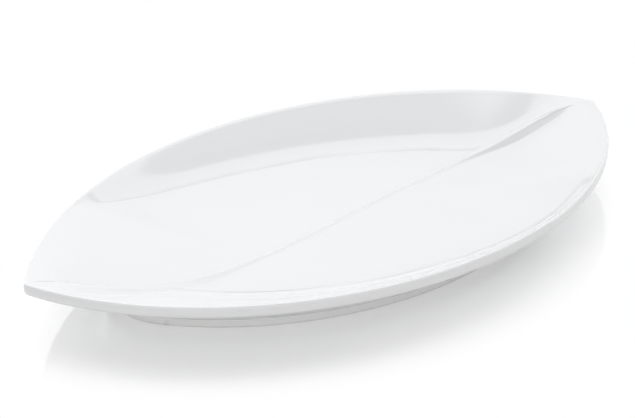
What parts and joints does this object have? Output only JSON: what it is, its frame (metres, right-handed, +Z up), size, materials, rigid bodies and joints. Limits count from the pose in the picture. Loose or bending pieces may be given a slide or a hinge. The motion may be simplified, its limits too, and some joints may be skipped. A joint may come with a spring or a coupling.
{
  "type": "leaf shaped serving plate",
  "caption": "Leaf shaped white glazed porcelain plate with a curved midrib, walls that close each leaf half and a bare foot ring, for serving food.",
  "frame": {"origin": "on the table under the middle of the leaf, at the level of the foot ring's bearing face", "axes": "+X along the leaf from tip to tip, +Y across the leaf, +Z up; half a turn about Z brings the plate back onto itself"},
  "size_m": [0.36, 0.232, 0.0305],
  "materials": {
    "biscuit_body": "fired white porcelain under the glaze, matt where bare",
    "bare_foot": "bare ground biscuit, matt and slightly warm",
    "white_glaze": "clear glossy glaze over white porcelain, slightly cool white"
  },
  "bodies": {
    "root": {"porcelain_body": "biscuit_body", "foot_ring": "bare_foot", "glaze_coat": "white_glaze", "base_glaze": "white_glaze"}
  },
  "joints": []
}
